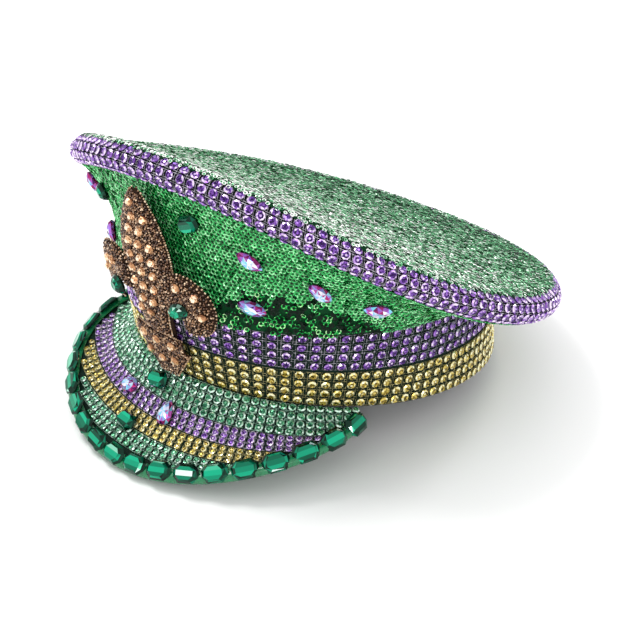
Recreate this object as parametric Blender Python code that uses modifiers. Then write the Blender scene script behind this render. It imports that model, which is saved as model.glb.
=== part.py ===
"""A peaked festival cap: a flared sequin crown on a wire hoop, a rhinestone band and a jewelled visor.

Lengths are in millimetres in the cap's own frame (band's lower edge in the plane z = 0, visor towards -Y,
wearer's left towards +X). One empty tilts and lifts the cap on to its resting points: the visor's edge and
the back of the band. Angles run from the front centre towards the wearer's left.
"""

from math import asin, atan2, cos, pi, radians, sin, sqrt

import bmesh
import bpy
from mathutils import Matrix, Vector

MM = 0.001

# Band, measured on the outer face of its rhinestones
BAND_HALF_WIDTH = 93.0
BAND_HALF_LENGTH = 104.0
BAND_HEIGHT = 50.0
BAND_FRONT_DROP = 4.0
BAND_BACK_DROP = 31.0
BAND_BACK_START = radians(95)
BAND_FLARE = 7.0
BAND_LEAN = 18.0
BAND_STEPS = 40

# Depth of each band layer below the outer face of the rhinestones
RIBBON_DEPTH = 0.6
RIBBON_THICK = 1.6
COVER_DEPTH = 2.7
COVER_THICK = 0.6
STIFFENER_DEPTH = 3.8
STIFFENER_THICK = 1.6
SWEATBAND_DEPTH = 7.6
SWEATBAND_THICK = 1.0
SWEATBAND_HEIGHT = 24.0

# Crown rim: a round roll on a wire hoop
RIM_RADIUS = 124.2
RIM_CENTRE_Y = -14.0
RIM_HEIGHT = 69.0
RIM_RISE = 41.0
RIM_SADDLE = 7.3
RIM_PEAK = 2.0
RIM_STEPS = 40
HOOP_RADIUS = 1.3
ROLL_INNER = 2.0
ROLL_OUTER = 6.2
STRIP_OUTER = 8.2
STRIP_THICK = 1.6
STRIP_REACH = radians(62)
ROLL_REACH = radians(150)

# Crown cloth
CLOTH_THICK = 1.0
TOP_LIFT = 8.2
SIDE_TUCK = 3.0
SIDE_HOLLOW = 5.0
LINING_GAP = 4.5
STAY_HALF_ANGLE = radians(14)

# Visor
VISOR_TURN = radians(-9.5)
VISOR_REACH = 32.8
VISOR_HALF_ANGLE = radians(66)
VISOR_END_ANGLE = radians(63)
VISOR_SLOPE = radians(53)
VISOR_HOLLOW = 4.5
VISOR_BOARD_THICK = 2.0
VISOR_SKIN_THICK = 0.5
VISOR_STRIP_THICK = 1.5
VISOR_STEPS = 22
VISOR_ROWS = 6
VISOR_ROOT_DROP = 1.4
STRIP_EDGES = {
    "visor_strip_green_inner": (0.6, 14.2),
    "visor_strip_purple": (14.6, 24.8),
    "visor_strip_gold": (25.2, 34.6),
    "visor_strip_green_outer": (35.0, 45.6),
}
STONE_BELT = 7.8
EDGE_STONES = 19
EDGE_STONE_LENGTH = 13.2
EDGE_STONE_WIDTH = 9.6
EDGE_STONE_HEIGHT = 4.6
EDGE_STONE_LIFT = 3.9

# Fleur-de-lis ornament, measured up the cap's face from the band's foot
FLEUR_FOOT_TURN = radians(-7.6)
FLEUR_TIP_TURN = radians(-11.0)
FLEUR_CLEARANCE = 1.0
FLEUR_BAND_LENGTH = 51.0
FLEUR_FULL_LENGTH = 117.0
FLEUR_BACKING_THICK = 1.0
FLEUR_BEAD_THICK = 2.2
FLEUR_GAP = 0.7
FLEUR_GEM_LIFT = 6.4

# Resting pose
REST_TILT = radians(11.75)
REST_LIFT = 19.86
REST_SHIFT_X = -2.2
REST_SHIFT_Y = 11.5

COLOURS = {
    "sequin_green": ((0.01, 0.33, 0.08), 0.3, 0.3),
    "rhinestone_purple": ((0.25, 0.08, 0.5), 0.2, 0.4),
    "rhinestone_gold": ((0.55, 0.33, 0.05), 0.2, 0.6),
    "rhinestone_mint": ((0.08, 0.4, 0.2), 0.2, 0.4),
    "satin_green": ((0.01, 0.25, 0.08), 0.4, 0.0),
    "lining_black": ((0.02, 0.02, 0.02), 0.8, 0.0),
    "board_grey": ((0.3, 0.3, 0.3), 0.6, 0.0),
    "foam_white": ((0.8, 0.8, 0.78), 0.8, 0.0),
    "wire_steel": ((0.5, 0.5, 0.5), 0.3, 1.0),
    "bead_bronze": ((0.24, 0.12, 0.05), 0.3, 0.5),
    "crystal_green": ((0.0, 0.3, 0.15), 0.05, 0.0),
    "crystal_aurora": ((0.75, 0.6, 0.85), 0.05, 0.0),
}


# ---------------------------------------------------------------- scene set-up


def clear_scene():
    for item in list(bpy.data.objects):
        bpy.data.objects.remove(item, do_unlink=True)


def make_material(name):
    colour, roughness, metallic = COLOURS[name]
    material = bpy.data.materials.new(name)
    material.use_nodes = True
    shader = material.node_tree.nodes["Principled BSDF"]
    shader.inputs["Base Color"].default_value = (*colour, 1.0)
    shader.inputs["Roughness"].default_value = roughness
    shader.inputs["Metallic"].default_value = metallic
    return material


def add_part(name, data, material, matrix=None):
    """Link one sub-part to the cap's collection and hang it on the resting empty."""
    item = bpy.data.objects.new(name, data)
    parts.objects.link(item)
    item.parent = rest_pose
    if matrix is not None:
        item.matrix_local = matrix
    data.materials.append(bpy.data.materials[material])
    return item


# ---------------------------------------------------------------- shape helpers


def steps_between(start, end, count):
    return [start + (end - start) * i / count for i in range(count + 1)]


def smooth_step(value):
    value = min(max(value, 0.0), 1.0)
    return value * value * (3.0 - 2.0 * value)


def outward(point):
    return Vector((point.x, point.y, 0.0))


def upward(_point):
    return Vector((0.0, 0.0, 1.0))


def sheet(name, surface, columns, rows, thickness, material, facing):
    """A thin closed part: a grid laid on surface(u, v), turned to face out and given its thickness."""
    mesh = bpy.data.meshes.new(name)
    shape = bmesh.new()
    bmesh.ops.create_grid(shape, x_segments=columns, y_segments=rows, size=0.5)
    for vert in shape.verts:
        vert.co = surface(vert.co.x + 0.5, vert.co.y + 0.5) * MM
    bmesh.ops.remove_doubles(shape, verts=shape.verts, dist=1e-6)
    bmesh.ops.recalc_face_normals(shape, faces=shape.faces)
    shape.normal_update()
    lean = sum(f.normal.dot(facing(f.calc_center_median())) * f.calc_area() for f in shape.faces)
    if lean < 0:
        bmesh.ops.reverse_faces(shape, faces=shape.faces)
    shape.to_mesh(mesh)
    shape.free()
    item = add_part(name, mesh, material)
    wall = item.modifiers.new("thickness", "SOLIDIFY")
    wall.thickness = thickness * MM
    wall.offset = -1.0
    wall.use_rim = True
    mesh.shade_smooth()
    return item


def around(value):
    """Turn a 0..1 grid value into a full turn from the back seam."""
    return -pi + 2.0 * pi * value


# ---------------------------------------------------------------- band


def band_full_height(angle):
    return BAND_HEIGHT - BAND_FRONT_DROP * cos(angle)


def band_top(angle):
    """Height of the band, which the crown's seam lowers towards the back."""
    turn = abs(atan2(sin(angle), cos(angle)))
    back = (turn - BAND_BACK_START) / (pi - BAND_BACK_START)
    return band_full_height(angle) - BAND_BACK_DROP * smooth_step(back)


def band_point(angle, height, depth=0.0):
    """A point on the band's wall, which leans forward and flares as it rises."""
    rise = height / BAND_HEIGHT
    half_width = BAND_HALF_WIDTH - depth
    half_length = BAND_HALF_LENGTH + BAND_FLARE * rise - depth
    return Vector((half_width * sin(angle), -BAND_LEAN * rise - half_length * cos(angle), height))


def band_wall(name, depth, thickness, low, high, material):
    """One layer of the band between two heights, each given as a function of the angle."""

    def surface(u, v):
        angle = around(u)
        return band_point(angle, low(angle) + (high(angle) - low(angle)) * v, depth)

    return sheet(name, surface, BAND_STEPS, 2, thickness, material, outward)


def make_band_cover():
    """Green cloth over the band's outside, turned under its lower edge and up inside."""
    fold = [(COVER_DEPTH, None), (COVER_DEPTH, 2.2), (3.3, 0.9), (4.7, 0.3), (6.1, 0.9), (6.7, 2.2), (6.7, 11.0)]
    last = len(fold) - 1

    def surface(u, v):
        angle = around(u)
        depth, height = fold[round(v * last)]
        if height is None:
            height = band_top(angle) - 0.4
        return band_point(angle, height, depth)

    sheet("band_cover", surface, BAND_STEPS, last, COVER_THICK, "sequin_green", outward)


def make_band():
    make_band_cover()
    band_wall(
        "band_stiffener", STIFFENER_DEPTH, STIFFENER_THICK, lambda a: 2.4, lambda a: band_top(a) - 0.6, "board_grey"
    )
    band_wall(
        "sweatband", SWEATBAND_DEPTH, SWEATBAND_THICK, lambda a: 1.6, lambda a: SWEATBAND_HEIGHT, "lining_black"
    )
    half = 0.5
    gap = 0.25
    band_wall(
        "band_ribbon_gold",
        RIBBON_DEPTH,
        RIBBON_THICK,
        lambda a: 1.2,
        lambda a: min(band_full_height(a) * half, band_top(a) - 2.0) - gap,
        "rhinestone_gold",
    )
    band_wall(
        "band_ribbon_purple",
        RIBBON_DEPTH,
        RIBBON_THICK,
        lambda a: min(band_full_height(a) * half, band_top(a) - 2.0) + gap,
        lambda a: band_top(a),
        "rhinestone_purple",
    )


# ---------------------------------------------------------------- crown


def rim_height(angle, share=1.0):
    """Height of the saddle-shaped crown at a share of the rim's radius, before the roll's own lift."""
    return (
        RIM_HEIGHT
        + RIM_RISE * share * cos(angle)
        + RIM_SADDLE * share**2 * cos(2.0 * angle)
        + RIM_PEAK * share**3 * cos(3.0 * angle)
    )


def roll_point(angle, around_roll, radius):
    """A point on the rim's roll: around_roll is 0 on the outside and a quarter turn on top."""
    reach = RIM_RADIUS + radius * cos(around_roll)
    return Vector(
        (
            reach * sin(angle),
            RIM_CENTRE_Y - reach * cos(angle),
            rim_height(angle) + radius * sin(around_roll),
        )
    )


def roll_shell(name, radius, thickness, start, end, columns, material):
    def surface(u, v):
        return roll_point(around(u), start + (end - start) * v, radius)

    def facing(point):
        angle = atan2(point.x, RIM_CENTRE_Y * MM - point.y)
        centre = roll_point(angle, 0.0, 0.0) * MM
        return point - centre

    return sheet(name, surface, RIM_STEPS, columns, thickness, material, facing)


def make_hoop():
    """The wire that holds the crown's edge open, closed into a ring."""
    curve = bpy.data.curves.new("rim_wire_hoop", "CURVE")
    curve.dimensions = "3D"
    curve.bevel_depth = HOOP_RADIUS * MM
    curve.bevel_resolution = 1
    spline = curve.splines.new("POLY")
    spline.points.add(RIM_STEPS - 1)
    for i, point in enumerate(spline.points):
        place = roll_point(around(i / RIM_STEPS), 0.0, 0.0) * MM
        point.co = (*place, 1.0)
    spline.use_cyclic_u = True
    add_part("rim_wire_hoop", curve, "wire_steel")


def make_top_panel():
    rings = 5

    def surface(u, v):
        angle = around(u)
        if v > 1.0 - 0.5 / rings:
            return roll_point(angle, radians(73), TOP_LIFT)
        share = min(v * rings / (rings - 1), 1.0)
        reach = RIM_RADIUS * share
        return Vector(
            (reach * sin(angle), RIM_CENTRE_Y - reach * cos(angle), rim_height(angle, share) + TOP_LIFT)
        )

    sheet("crown_top_panel", surface, RIM_STEPS, rings, CLOTH_THICK, "sequin_green", upward)


def side_point(angle, share, inset=0.0):
    """The crown's side: share 0 on the band's top edge and 1 under the rim's roll, hollowed between."""
    low = band_point(angle, band_top(angle) + 1.6, SIDE_TUCK + inset)
    high = roll_point(angle, radians(-100), TOP_LIFT)
    spread = (high - low).normalized()
    across = Vector((cos(angle), sin(angle), 0.0))
    normal = spread.cross(across)
    if normal.dot(Vector((sin(angle), -cos(angle), -0.5))) < 0:
        normal = -normal
    hollow = SIDE_HOLLOW * min((high - low).length / 40.0, 1.0)
    return low.lerp(high, share) - normal * (hollow * sin(pi * share) + inset * min(share * 6.0, 1.0))


def make_side_panels():
    half_seam = radians(0.25)
    halves = {"crown_side_left": (half_seam, pi - half_seam), "crown_side_right": (-pi + half_seam, -half_seam)}
    for name, (start, end) in halves.items():

        def surface(u, v, start=start, end=end):
            return side_point(start + (end - start) * u, v)

        sheet(name, surface, RIM_STEPS // 2, 4, CLOTH_THICK, "sequin_green", outward)


def make_front_stay():
    """A stiff strip behind the crown's front that keeps it standing tall."""

    def surface(u, v):
        angle = STAY_HALF_ANGLE * (2.0 * u - 1.0)
        return side_point(angle, 0.12 + 0.76 * v, 1.8)

    sheet("front_stay", surface, 6, 5, 1.0, "board_grey", outward)


def make_lining():
    """Cloth inside the crown: up the inner side, then across under the top panel."""
    side_rows = 3
    top_rows = 3

    def surface(u, v):
        angle = around(u)
        row = round(v * (side_rows + top_rows))
        if row <= side_rows:
            share = 0.05 + 0.62 * row / side_rows
            return side_point(angle, share, LINING_GAP)
        share = 0.84 * (side_rows + top_rows - row) / top_rows
        reach = RIM_RADIUS * share
        height = rim_height(angle, share) + TOP_LIFT - LINING_GAP
        return Vector((reach * sin(angle), RIM_CENTRE_Y - reach * cos(angle), height))

    sheet("crown_lining", surface, RIM_STEPS, side_rows + top_rows, 0.5, "lining_black", outward)


def make_crown():
    make_hoop()
    roll_shell("rim_roll", ROLL_OUTER, ROLL_OUTER - ROLL_INNER, -ROLL_REACH, ROLL_REACH, 7, "foam_white")
    roll_shell("rim_rhinestone_strip", STRIP_OUTER, STRIP_THICK, -STRIP_REACH, STRIP_REACH, 4, "rhinestone_purple")
    make_top_panel()
    make_side_panels()
    make_front_stay()
    make_lining()


# ---------------------------------------------------------------- visor


def visor_width(angle):
    """How far the visor reaches out from the band, seen from above."""
    share = min(abs(angle) / VISOR_HALF_ANGLE, 1.0)
    return VISOR_REACH * (1.0 - share**3.9) ** 0.88


def visor_frame(angle):
    """The band's foot at an angle from the visor's centre, and the unit direction straight out from it."""
    turned = angle + VISOR_TURN
    foot = band_point(turned, 0.0)
    out = Vector((sin(turned) / BAND_HALF_WIDTH, -cos(turned) / BAND_HALF_LENGTH, 0.0)).normalized()
    return foot, out


def visor_slope(angle):
    return VISOR_SLOPE * cos(1.2 * angle)


def visor_length(angle):
    """The visor's width measured down its slope."""
    return visor_width(angle) / cos(visor_slope(angle))


def visor_point(angle, down, lift=0.0):
    """A point on the visor's board, down its slope from the band, lifted off its upper face."""
    foot, out = visor_frame(angle)
    slope = visor_slope(angle)
    run = out * cos(slope) - Vector((0.0, 0.0, sin(slope)))
    normal = out * sin(slope) + Vector((0.0, 0.0, cos(slope)))
    share = min(max(down / max(visor_length(angle), 1.0), 0.0), 1.0)
    hollow = VISOR_HOLLOW * (visor_width(angle) / VISOR_REACH) * sin(pi * share)
    point = foot + run * down + normal * (lift - hollow)
    point.z -= VISOR_ROOT_DROP
    return point


def visor_end(down):
    """The angle at which the visor's edge cuts off a strip that runs this far from the band."""
    low, high = 0.0, VISOR_END_ANGLE
    if visor_length(high) > down:
        return high
    for _ in range(40):
        middle = 0.5 * (low + high)
        if visor_length(middle) > down:
            low = middle
        else:
            high = middle
    return low


def visor_sheet(name, start, margin, lift, thickness, material):
    def surface(u, v):
        angle = VISOR_END_ANGLE * (2.0 * u - 1.0)
        stop = visor_length(angle) - margin
        return visor_point(angle, start + (max(stop, start + 1.0) - start) * v, lift)

    return sheet(name, surface, VISOR_STEPS, VISOR_ROWS, thickness, material, upward)


def make_visor_board():
    skin = VISOR_SKIN_THICK + 0.3
    visor_sheet("visor_board", -3.0, 2.0, 0.0, VISOR_BOARD_THICK, "board_grey")
    visor_sheet("visor_cover", -3.0, 2.0, skin, VISOR_SKIN_THICK, "satin_green")
    visor_sheet("visor_lining", -3.0, 2.0, -VISOR_BOARD_THICK - 0.3, VISOR_SKIN_THICK, "satin_green")


def make_visor_binding():
    """A glossy tape folded round the visor's edge, above the cover and below the lining."""
    top = VISOR_SKIN_THICK + 1.2
    low = -VISOR_BOARD_THICK - 1.7
    middle = 0.5 * (top + low)
    fold = [(-5.5, top), (-1.5, top), (0.6, top - 0.5), (1.2, middle), (0.6, low + 0.3), (-1.5, low), (-5.5, low)]
    last = len(fold) - 1

    def surface(u, v):
        angle = VISOR_END_ANGLE * (2.0 * u - 1.0)
        out, lift = fold[round(v * last)]
        return visor_point(angle, visor_length(angle) + out, lift)

    sheet("visor_binding", surface, VISOR_STEPS, last, 0.6, "satin_green", upward)


def make_visor_strips():
    """Bands of rhinestones that follow the hat band and are cut off by the row of edge stones."""
    colours = {
        "visor_strip_green_inner": "rhinestone_mint",
        "visor_strip_purple": "rhinestone_purple",
        "visor_strip_gold": "rhinestone_gold",
        "visor_strip_green_outer": "rhinestone_mint",
    }
    lift = VISOR_SKIN_THICK + 0.3 + 0.3 + VISOR_STRIP_THICK
    for name, (start, stop) in STRIP_EDGES.items():
        end = visor_end(start + STONE_BELT + 3.0)

        def surface(u, v, start=start, stop=stop, end=end):
            angle = end * (2.0 * u - 1.0)
            far = min(stop, max(visor_length(angle) - STONE_BELT, start + 1.2))
            return visor_point(angle, start + (far - start) * v, lift)

        sheet(name, surface, VISOR_STEPS, 2, VISOR_STRIP_THICK, colours[name], upward)


# ---------------------------------------------------------------- stones


def frame_on(surface, a, b, spin=0.0):
    """A matrix at surface(a, b) whose z leaves the surface and whose x runs along a."""
    point = surface(a, b)
    along = surface(a + 0.002, b) - surface(a - 0.002, b)
    down = surface(a, b + 0.02) - surface(a, b - 0.02)
    along.normalize()
    normal = along.cross(down).normalized()
    if normal.dot(Vector((point.x, point.y, 60.0))) < 0:
        normal = -normal
    side = normal.cross(along)
    turn = Matrix((along, side, normal)).transposed().to_4x4()
    return Matrix.Translation(point * MM) @ turn @ Matrix.Rotation(spin, 4, "Z")


def octagon_stone(length, width, height):
    """A step-cut stone: a block with clipped corners and a sloped rim round its flat table."""
    mesh = bpy.data.meshes.new("octagon_stone")
    shape = bmesh.new()
    bmesh.ops.create_cube(shape, size=1.0)
    for vert in shape.verts:
        vert.co = Vector((vert.co.x * length, vert.co.y * width, (vert.co.z + 0.5) * height)) * MM
    upright = [e for e in shape.edges if abs(e.verts[0].co.z - e.verts[1].co.z) > 0.5 * height * MM]
    bmesh.ops.bevel(shape, geom=upright, offset=0.27 * width * MM, segments=1, affect="EDGES")
    table = [e for e in shape.edges if min(v.co.z for v in e.verts) > 0.9 * height * MM]
    bmesh.ops.bevel(shape, geom=table, offset=0.2 * width * MM, segments=1, affect="EDGES")
    shape.to_mesh(mesh)
    shape.free()
    return mesh


def round_stone(length, width, height, outline):
    """A cut stone with a curved outline: outline(turn) gives the x and y shares of its half length and width."""
    mesh = bpy.data.meshes.new("round_stone")
    shape = bmesh.new()
    bmesh.ops.create_cone(shape, cap_ends=True, segments=12, radius1=1.0, radius2=0.55, depth=1.0)
    for vert in shape.verts:
        turn = atan2(vert.co.y, vert.co.x)
        reach = sqrt(vert.co.x**2 + vert.co.y**2)
        x, y = outline(turn)
        vert.co = Vector((x * reach * length / 2, y * reach * width / 2, (vert.co.z + 0.5) * height)) * MM
    shape.to_mesh(mesh)
    shape.free()
    return mesh


def oval_outline(turn):
    return cos(turn), sin(turn)


def navette_outline(turn):
    return cos(turn), sin(turn) * abs(sin(turn)) ** 0.35


def teardrop_outline(turn):
    return cos(turn), sin(turn) * (0.62 - 0.38 * cos(turn)) * 1.35


def visor_top(angle, down):
    return visor_point(angle, down, VISOR_SKIN_THICK + VISOR_STRIP_THICK + 1.2)


def make_edge_stones():
    """Step-cut stones nose to tail along the visor's edge."""
    mesh = octagon_stone(EDGE_STONE_LENGTH, EDGE_STONE_WIDTH, EDGE_STONE_HEIGHT)
    samples = steps_between(-VISOR_END_ANGLE, VISOR_END_ANGLE, 400)
    inset = 0.5 * EDGE_STONE_WIDTH + 0.4
    path = [visor_point(a, max(visor_length(a) - inset, 2.0)) for a in samples]
    travelled = [0.0]
    for before, after in zip(path, path[1:]):
        travelled.append(travelled[-1] + (after - before).length)
    spacing = travelled[-1] / EDGE_STONES
    for i in range(EDGE_STONES):
        wanted = spacing * (i + 0.5)
        near = min(range(len(samples)), key=lambda k: abs(travelled[k] - wanted))
        angle = samples[near]
        before = max(near - 6, 0)
        after = min(near + 6, len(path) - 1)
        along = (path[after] - path[before]).normalized()
        slope = visor_slope(angle)
        _foot, out = visor_frame(angle)
        normal = out * sin(slope) + Vector((0.0, 0.0, cos(slope)))
        side = normal.cross(along).normalized()
        normal = along.cross(side).normalized()
        place = path[near] + normal * EDGE_STONE_LIFT
        matrix = Matrix.Translation(place * MM) @ Matrix((along, side, normal)).transposed().to_4x4()
        add_part(f"visor_edge_stone_{i + 1:02d}", mesh.copy(), "crystal_green", matrix)


def crown_face(angle, share):
    point = side_point(angle, share)
    beyond = side_point(angle, share, -1.0) - point
    return point + beyond.normalized() * 0.5


def fleur_gem_seat(across, height):
    return fleur_point(across, height, FLEUR_GEM_LIFT)


def make_set_stones():
    """The larger stones glued on the visor, the band and the crown's sides."""
    oval = round_stone(11.5, 8.6, 4.2, oval_outline)
    navette = round_stone(15.0, 7.5, 4.0, navette_outline)
    teardrop = round_stone(14.0, 9.5, 4.2, teardrop_outline)
    octagon = octagon_stone(12.0, 9.0, 4.4)
    stones = [
        ("visor_stone_upper", octagon, "crystal_green", visor_top, radians(-2), 7.0, 0.2),
        ("visor_stone_lower", octagon, "crystal_green", visor_top, radians(-4), 34.0, 0.0),
        ("visor_stone_right", oval, "crystal_aurora", visor_top, radians(-11.5), 18.5, 0.3),
        ("visor_stone_left", teardrop, "crystal_aurora", visor_top, radians(6), 19.5, 1.6),
        ("fleur_gem_left", oval, "crystal_green", fleur_gem_seat, 26.0, 55.0, 0.3),
        ("fleur_gem_right", oval, "crystal_green", fleur_gem_seat, -22.0, 51.5, -0.3),
        ("crown_stone_right_green", oval, "crystal_green", crown_face, radians(-38), 0.72, 0.9),
        ("crown_stone_right_high", navette, "crystal_aurora", crown_face, radians(-48), 0.78, 1.2),
        ("crown_stone_right_low", navette, "crystal_aurora", crown_face, radians(-46), 0.2, 1.2),
        ("crown_stone_left_green", octagon, "crystal_green", crown_face, radians(3), 0.755, 0.5),
        ("crown_stone_left_front", navette, "crystal_aurora", crown_face, radians(20.5), 0.63, -0.3),
        ("crown_stone_left_middle", navette, "crystal_aurora", crown_face, radians(40), 0.55, -0.45),
        ("crown_stone_left_low", navette, "crystal_aurora", crown_face, radians(24), 0.2, -0.1),
        ("crown_stone_left_back", navette, "crystal_aurora", crown_face, radians(56.5), 0.48, 0.1),
    ]
    for name, mesh, material, surface, angle, reach, spin in stones:
        matrix = frame_on(surface, angle, reach, spin)
        lifted = matrix @ Matrix.Translation((0.0, 0.0, 0.9 * MM))
        add_part(name, mesh.copy(), material, lifted)


# ---------------------------------------------------------------- fleur ornament


def fleur_point(across, height, lift):
    """A point of the ornament: across from its centre line and up from the band's foot, over band and crown."""
    wall = FLEUR_BAND_LENGTH
    share = height / FLEUR_FULL_LENGTH
    radius = BAND_HALF_WIDTH + (RIM_RADIUS - BAND_HALF_WIDTH) * share
    angle = FLEUR_FOOT_TURN + (FLEUR_TIP_TURN - FLEUR_FOOT_TURN) * share + asin(across / radius)
    clear = FLEUR_CLEARANCE + lift
    seam = band_point(angle, band_top(angle), -clear)
    if height <= wall:
        foot = band_point(angle, 0.0, -clear)
        return foot.lerp(seam, height / wall)
    high = roll_point(angle, radians(-70), STRIP_OUTER) + Vector((sin(angle), -cos(angle), 0.0)) * clear
    return seam.lerp(high, (height - wall) / (FLEUR_FULL_LENGTH - wall))


def fleur_piece(name, spine, half_width, thick, lift, columns, rows, material):
    """A leaf along a spine: spine(v) gives x and height, half_width(v) its half width there."""

    def surface(u, v):
        x, height = spine(v)
        x_after, height_after = spine(v + 0.01)
        run = Vector((x_after - x, height_after - height)).normalized()
        across = half_width(v) * (2.0 * u - 1.0)
        return fleur_point(x + run.y * across, height - run.x * across, lift)

    return sheet(name, surface, columns, rows, thick, material, outward)


def make_fleur():
    """The beaded fleur-de-lis: a pointed centre petal, two curled side petals, a cross band and tails."""
    bead = "bead_bronze"
    waist = 0.48
    low = FLEUR_BACKING_THICK + FLEUR_GAP + FLEUR_BEAD_THICK
    high = low + FLEUR_GAP + FLEUR_BEAD_THICK

    def petal_width(v):
        if v < waist:
            return 8.0 + 12.0 * smooth_step(v / waist) ** 1.3
        return 1.5 + 18.5 * max(cos(0.5 * pi * (v - waist) / (1.0 - waist)), 0.0) ** 0.8

    def curl(side):
        def spine(v):
            turn = radians(195 - 290 * v)
            return side * (28.5 + 10.0 * cos(turn)), 57.0 + 10.0 * sin(turn)

        return spine

    fleur_piece("fleur_centre_petal", lambda v: (0.0, 31.0 + 82.0 * v), petal_width, FLEUR_BEAD_THICK, low, 4, 9, bead)
    for name, side in (("fleur_left_petal", 1.0), ("fleur_right_petal", -1.0)):
        fleur_piece(name, curl(side), lambda v: 8.2 - 1.5 * v, FLEUR_BEAD_THICK, high, 2, 15, bead)
    fleur_piece(
        "fleur_cross_band", lambda v: (-17.0 + 34.0 * v, 25.0), lambda v: 3.8, FLEUR_BEAD_THICK, low, 2, 6, bead
    )
    fleur_piece(
        "fleur_tail", lambda v: (0.0, 19.5 - 17.5 * v), lambda v: 19.0 - 14.0 * v, FLEUR_BEAD_THICK, low, 4, 4, bead
    )
    fleur_piece(
        "fleur_backing",
        lambda v: (0.0, 4.0 + 104.0 * v),
        lambda v: 3.0 + 11.0 * sin(pi * min(max(v, 0.0), 1.0)) ** 0.7,
        FLEUR_BACKING_THICK,
        FLEUR_BACKING_THICK,
        6,
        10,
        "lining_black",
    )


# ---------------------------------------------------------------- build


clear_scene()
for colour_name in COLOURS:
    make_material(colour_name)
parts = bpy.data.collections.new("peaked_festival_cap")
bpy.context.scene.collection.children.link(parts)
rest_pose = bpy.data.objects.new("rest_pose", None)
bpy.context.scene.collection.objects.link(rest_pose)
rest_pose.rotation_mode = "ZYX"
rest_pose.rotation_euler = (-REST_TILT, 0.0, -VISOR_TURN)
rest_pose.location = (REST_SHIFT_X * MM, REST_SHIFT_Y * MM, REST_LIFT * MM)

make_band()
make_crown()
make_visor_board()
make_visor_binding()
make_visor_strips()
make_edge_stones()
make_set_stones()
make_fleur()
bpy.context.view_layer.update()
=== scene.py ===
"""The looks of the peaked festival cap: sequins, rhinestone mesh, cut stones, beads, cloth and the studio.

Lengths in the functions are millimetres in the cap's own frame, the one that its CAD source uses: the band's
lower edge in the plane z = 0, the visor towards -Y, the wearer's left towards +X. Angles run from the front
centre towards the wearer's left. PLACE takes the cap's frame to the row frame.
"""

import random
from math import asin, atan2, cos, pi, radians, sin, sqrt

import bpy
import numpy as np
from mathutils import Euler, Matrix, Vector


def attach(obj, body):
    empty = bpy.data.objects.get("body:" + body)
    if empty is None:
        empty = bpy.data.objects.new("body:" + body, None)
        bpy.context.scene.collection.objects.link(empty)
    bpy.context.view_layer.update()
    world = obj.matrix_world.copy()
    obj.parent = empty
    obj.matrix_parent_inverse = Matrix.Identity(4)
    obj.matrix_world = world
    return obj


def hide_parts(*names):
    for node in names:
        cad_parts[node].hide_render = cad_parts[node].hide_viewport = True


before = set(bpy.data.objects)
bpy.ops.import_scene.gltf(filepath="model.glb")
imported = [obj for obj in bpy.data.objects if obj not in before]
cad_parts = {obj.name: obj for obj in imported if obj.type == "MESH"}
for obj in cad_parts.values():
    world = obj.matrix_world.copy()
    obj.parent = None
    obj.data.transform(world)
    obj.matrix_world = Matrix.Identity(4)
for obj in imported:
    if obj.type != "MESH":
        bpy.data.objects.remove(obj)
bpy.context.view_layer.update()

MM = 0.001

# Band
BAND_HALF_WIDTH = 93.0
BAND_HALF_LENGTH = 104.0
BAND_HEIGHT = 50.0
BAND_FRONT_DROP = 4.0
BAND_BACK_DROP = 31.0
BAND_BACK_START = radians(95)
BAND_FLARE = 7.0
BAND_LEAN = 18.0
CLOTH_DEPTH = 2.3
SWEATBAND_DEPTH = 7.6
SWEATBAND_HEIGHT = 24.0
BAND_COLUMN_PITCH = 6.7
BAND_ROWS = 4
BAND_STONE = 4.7
RIBBON_SEAM = 0.5

# Crown
RIM_RADIUS = 124.2
RIM_CENTRE_Y = -14.0
RIM_HEIGHT = 69.0
RIM_RISE = 41.0
RIM_SADDLE = 7.3
RIM_PEAK = 2.0
STRIP_OUTER = 8.2
STRIP_ROW_ANGLES = (radians(-62), radians(-22), radians(18), radians(58))
STRIP_EDGE_ANGLE = radians(80)
TOP_LIFT = 8.2
TOP_HEM_FALL = 0.14
SIDE_TUCK = 1.2
SIDE_HOLLOW = 5.0
SIDE_FULL_HEIGHT = 40.0
SIDE_END_DEGREES = -100
SIDE_PLEAT = 0.7
LINING_GAP = 4.5
RIM_STONE = 4.9
RIM_COLUMN_PITCH = 6.5
RIM_STONE_DEPTH = 1.4
RIM_CLOTH_DEPTH = 1.7

# Visor
VISOR_TURN = radians(-9.5)
VISOR_REACH = 32.8
VISOR_HALF_ANGLE = radians(66)
VISOR_END_ANGLE = radians(63)
VISOR_SLOPE = radians(53)
VISOR_HOLLOW = 4.5
VISOR_ROOT_DROP = 1.4
VISOR_COVER_LIFT = 0.8
STONE_BELT = 7.8
# Each strip's start and end down the slope, its rows and its colour
STRIPS = {
    "green_inner": (-2.2, 14.4, 4, "mint"),
    "purple": (14.6, 24.8, 3, "purple"),
    "gold": (25.2, 34.6, 3, "gold"),
    "green_outer": (35.0, 45.6, 3, "mint"),
}
VISOR_COLUMN_PITCH = 4.9
VISOR_STRIP_LIFT = 0.4
VISOR_LINING_DEPTH = 2.3
EDGE_STONES = 19
PALE_EDGE_STONES = (12,)
EDGE_STONE_TILT = radians(62)
EDGE_STONE_LENGTH = 14.4
EDGE_STONE_WIDTH = 10.2
EDGE_STONE_HEIGHT = 3.2
EDGE_STONE_INSET = 3.8
EDGE_STONE_LIFT = 2.4
VISOR_STONE_LIFT = 1.9
CROWN_STONE_LIFT = 1.4

# Small stones in their nets
STONE_SINK = 0.45
NET_THREAD = 0.13
ROW_THREAD_LIFT = 0.15
COLUMN_THREAD_LIFT = 0.05

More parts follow.
